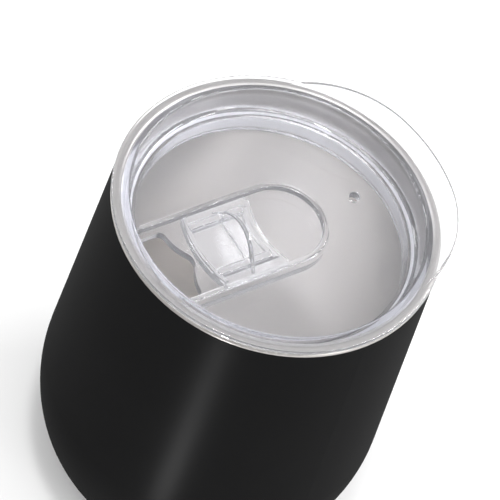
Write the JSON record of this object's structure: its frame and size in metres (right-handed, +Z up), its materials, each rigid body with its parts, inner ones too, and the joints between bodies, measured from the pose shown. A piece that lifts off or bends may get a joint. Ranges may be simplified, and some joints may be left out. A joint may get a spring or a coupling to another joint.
{
  "type": "insulated tumbler with lid",
  "caption": "Stemless insulated steel tumbler, rounded towards its base, with a clear push-on lid that has a sliding drink closure and a thumb tab.",
  "frame": {"origin": "centre of the base, on the surface that the tumbler stands on", "axes": "+Z up along the cup's axis, -Y towards the drinking opening, +Y towards the lid's thumb tab"},
  "size_m": [0.089, 0.0895, 0.1134],
  "materials": {
    "black_powder_coat": "matt black powder coat with a very fine grain",
    "stainless_steel": "satin, turned marks round the axis",
    "copper": "bare copper foil, bright",
    "getter_alloy": "pressed metal powder, dull",
    "solder": "frozen solder, smooth",
    "foam_adhesive": "thin foam tape",
    "clear_plastic": "clear moulded copolyester, polished, faint cool tint",
    "silicone": "translucent silicone, satin"
  },
  "bodies": {
    "cup": {"outer_shell": "black_powder_coat", "outer_bottom": "black_powder_coat", "inner_liner": "stainless_steel", "copper_foil": "copper", "getter_clip": "stainless_steel", "getter_pellet": "getter_alloy", "vacuum_seal_bead": "solder", "base_adhesive": "foam_adhesive", "base_cover": "stainless_steel"},
    "lid": {"lid_body": "clear_plastic", "lid_gasket": "silicone"},
    "slider": {"lid_slider": "clear_plastic"}
  },
  "joints": [
    {"name": "lid_lift", "type": "slide", "parent": "cup", "child": "lid", "axis": [0, 0, 1], "range_m": [0, 0.03]},
    {"name": "slider_slide", "type": "slide", "parent": "lid", "child": "slider", "axis": [0, -1, 0], "range_m": [-0.0055, 0.0126]}
  ]
}
